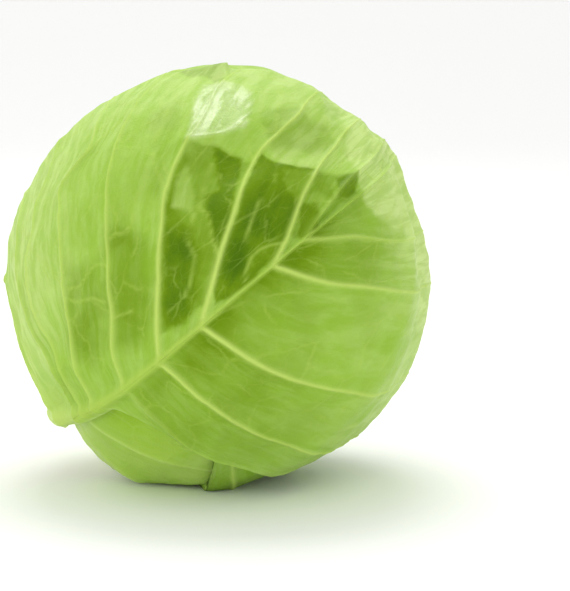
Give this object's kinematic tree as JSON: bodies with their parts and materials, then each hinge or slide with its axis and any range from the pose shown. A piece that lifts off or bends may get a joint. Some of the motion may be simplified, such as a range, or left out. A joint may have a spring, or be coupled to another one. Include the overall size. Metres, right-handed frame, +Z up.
{
  "type": "green cabbage",
  "caption": "Whole head of green cabbage lying on its side: overlapping ribbed wrapper leaves round a tight heart, with a cut stem.",
  "frame": {"origin": "centre of the flat spot on the wrapper leaf that the head rests on, straight below the middle of the head", "axes": "+Z up; -Y towards the viewer, whom the outermost leaf faces; the cut stem points left, a little back and down, and the crown right and up"},
  "size_m": [0.1829, 0.1811, 0.1774],
  "materials": {
    "outer_leaf": "waxy, softly glossy",
    "inner_leaf": "waxy, softly glossy",
    "heart": "satin",
    "stem": "matte"
  },
  "bodies": {
    "root": {"stem": "stem", "heart": "heart", "wrapper_leaf_1": "outer_leaf", "wrapper_leaf_2": "outer_leaf", "wrapper_leaf_3": "outer_leaf", "wrapper_leaf_4": "outer_leaf", "wrapper_leaf_5": "inner_leaf", "wrapper_leaf_6": "inner_leaf", "wrapper_leaf_7": "inner_leaf"}
  },
  "joints": []
}
